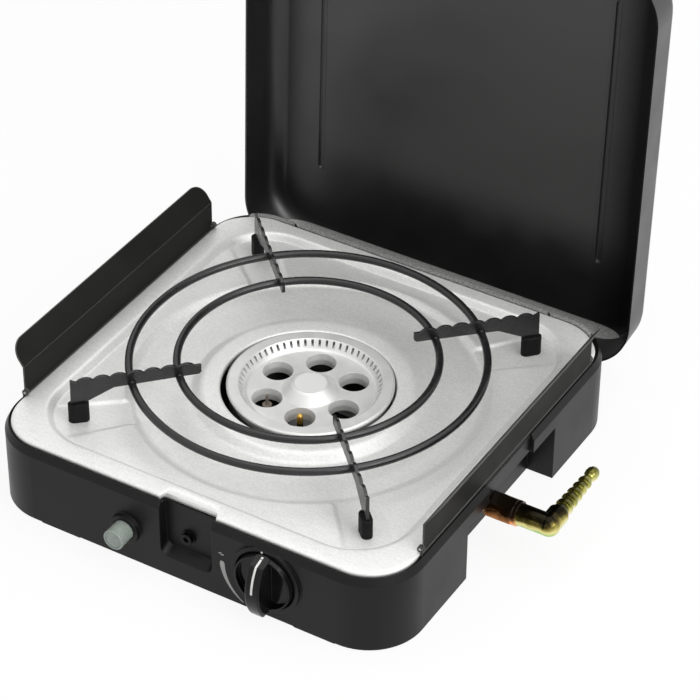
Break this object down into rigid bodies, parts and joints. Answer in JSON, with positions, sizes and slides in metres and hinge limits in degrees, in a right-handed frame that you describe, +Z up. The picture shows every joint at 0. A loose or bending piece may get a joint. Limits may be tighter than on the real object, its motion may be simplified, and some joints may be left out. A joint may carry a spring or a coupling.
{
  "type": "single burner gas stove",
  "caption": "Tabletop gas stove with a hinged lid, folding wind shields, lift-off pan support, round burner, gas knob, igniter button and side hose nozzle.",
  "frame": {"origin": "bottom centre of the whole stove's bounding box, with the lid open", "axes": "+Z up, -Y to the front with the knob, +X to the side with the gas inlet"},
  "size_m": [0.3358, 0.355, 0.3052],
  "materials": {
    "casing_black": "satin black moulded casing",
    "stainless_sheet": "satin stainless sheet",
    "zinc_steel": "bright zinc plate",
    "black_rubber": "matt black rubber",
    "cast_aluminium": "satin cast aluminium",
    "brass": "machined brass",
    "passivated_steel": "yellow passivated zinc plate",
    "steel_rod": "plain steel",
    "copper_line": "drawn copper capillary",
    "ceramic": "white glazed ceramic",
    "lead_sleeve": "white silicone sleeve",
    "knob_black": "gloss black moulded plastic",
    "grey_button": "smoky translucent plastic",
    "igniter_plastic": "black moulded plastic",
    "aluminium_pipe": "drawn aluminium pipe",
    "black_enamel": "satin black enamel on steel",
    "cap_rubber": "matt black heat-proof rubber",
    "black_paint": "satin black powder coat",
    "bright_steel": "plain spring steel"
  },
  "bodies": {
    "base": {"base_casing": "casing_black", "bracket_rivets": "zinc_steel", "bridge_screws": "zinc_steel", "burner_body": "cast_aluminium", "burner_bolts": "zinc_steel", "burner_bridge": "zinc_steel", "burner_head": "cast_aluminium", "catch_screw": "zinc_steel", "catch_washer": "zinc_steel", "feed_pipe": "aluminium_pipe", "gas_jet": "brass", "gas_tap": "brass", "hinge_bracket_left": "zinc_steel", "hinge_bracket_right": "zinc_steel", "hinge_pins": "zinc_steel", "hose_elbow": "passivated_steel", "hose_nozzle": "passivated_steel", "igniter_body": "igniter_plastic", "igniter_nut": "zinc_steel", "inlet_bracket": "zinc_steel", "inlet_locknut": "brass", "inlet_stub": "brass", "jet_pipe": "aluminium_pipe", "mixing_tube": "cast_aluminium", "rubber_feet": "black_rubber", "sensor_bracket": "zinc_steel", "shield_pins": "zinc_steel", "shield_rail_left": "black_paint", "shield_rail_right": "black_paint", "spark_electrode": "ceramic", "spark_lead": "lead_sleeve", "steel_tray": "stainless_sheet", "thermocouple": "steel_rod", "thermocouple_lead": "copper_line", "tray_nuts": "zinc_steel", "tray_studs": "zinc_steel", "union_nut": "passivated_steel"},
    "lid": {"lid_arm_left": "bright_steel", "lid_arm_right": "bright_steel", "lid_catch": "bright_steel", "lid_rivets": "zinc_steel", "lid_shell": "black_paint"},
    "shield_right": {"wind_shield_right": "black_paint"},
    "shield_left": {"wind_shield_left": "black_paint"},
    "knob_push": {"tap_push_rod": "steel_rod"},
    "knob": {"knob": "knob_black", "tap_spindle": "brass"},
    "igniter_push": {"igniter_button": "grey_button"},
    "pan_support": {"support_arm_front_left": "black_enamel", "support_arm_front_right": "black_enamel", "support_arm_rear_left": "black_enamel", "support_arm_rear_right": "black_enamel", "support_cap_front_left": "cap_rubber", "support_cap_front_right": "cap_rubber", "support_cap_rear_left": "cap_rubber", "support_cap_rear_right": "cap_rubber", "support_inner_ring": "black_enamel", "support_outer_ring": "black_enamel"}
  },
  "joints": [
    {"name": "lid_hinge", "type": "hinge", "parent": "base", "child": "lid", "pos_m": [-0.01816, 0.11411, 0.0305], "axis": [-1, 0, 0], "range_deg": [-92, 0]},
    {"name": "right_shield_fold", "type": "hinge", "parent": "base", "child": "shield_right", "pos_m": [0.12124, -0.01679, 0.0586], "axis": [0, -1, 0], "range_deg": [0, 68.1]},
    {"name": "left_shield_fold", "type": "hinge", "parent": "base", "child": "shield_left", "pos_m": [-0.15756, -0.01679, 0.0586], "axis": [0, 1, 0], "range_deg": [0, 68.1]},
    {"name": "knob_press", "type": "slide", "parent": "base", "child": "knob_push", "axis": [0, 1, 0], "range_m": [0, 0.0035], "stiffness_N_per_m": 900},
    {"name": "knob_turn", "type": "hinge", "parent": "knob_push", "child": "knob", "pos_m": [0.04184, -0.15679, 0.0294], "axis": [0, -1, 0], "range_deg": [0, 170]},
    {"name": "igniter_press", "type": "slide", "parent": "base", "child": "igniter_push", "axis": [0, 1, 0], "range_m": [0, 0.005], "stiffness_N_per_m": 1500},
    {"name": "pan_support_lift", "type": "slide", "parent": "base", "child": "pan_support", "axis": [0, 0, 1], "range_m": [0, 0.07]}
  ],
  "couplings": [
    {"joint": "right_shield_fold", "follows": "lid_hinge", "ratio": -0.74},
    {"joint": "left_shield_fold", "follows": "lid_hinge", "ratio": -0.74}
  ]
}
